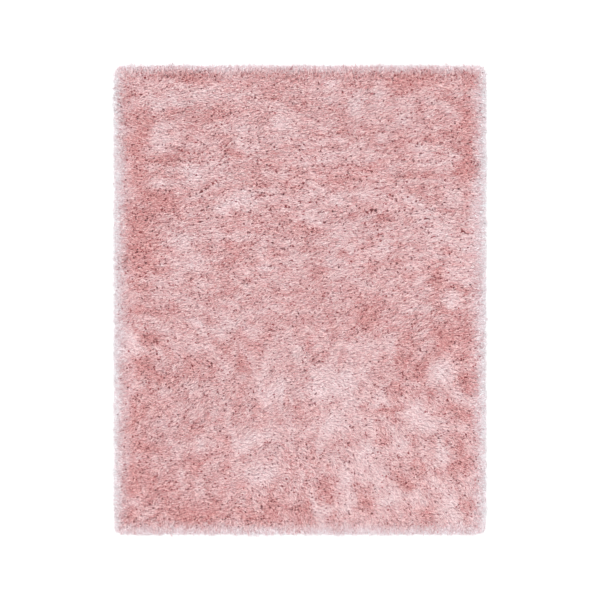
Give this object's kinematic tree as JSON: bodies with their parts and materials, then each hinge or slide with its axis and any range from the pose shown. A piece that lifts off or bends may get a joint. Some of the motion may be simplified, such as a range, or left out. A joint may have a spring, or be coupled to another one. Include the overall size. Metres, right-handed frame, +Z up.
{
  "type": "shag rug",
  "caption": "Rectangular long-pile shag rug lying flat: a lumpy slab of silky rose pink pile with locks of pile falling outwards all round its rim.",
  "frame": {"origin": "middle of the flat underside, on the floor", "axes": "+Y along the rug's length, +X across its width, +Z up out of the pile"},
  "size_m": [2.425, 3.05, 0.062],
  "materials": {
    "pile": "silky rose pink long pile with a soft sheen, paler where the strands lie flat"
  },
  "bodies": {
    "root": {"shag_rug": "pile"}
  },
  "joints": []
}
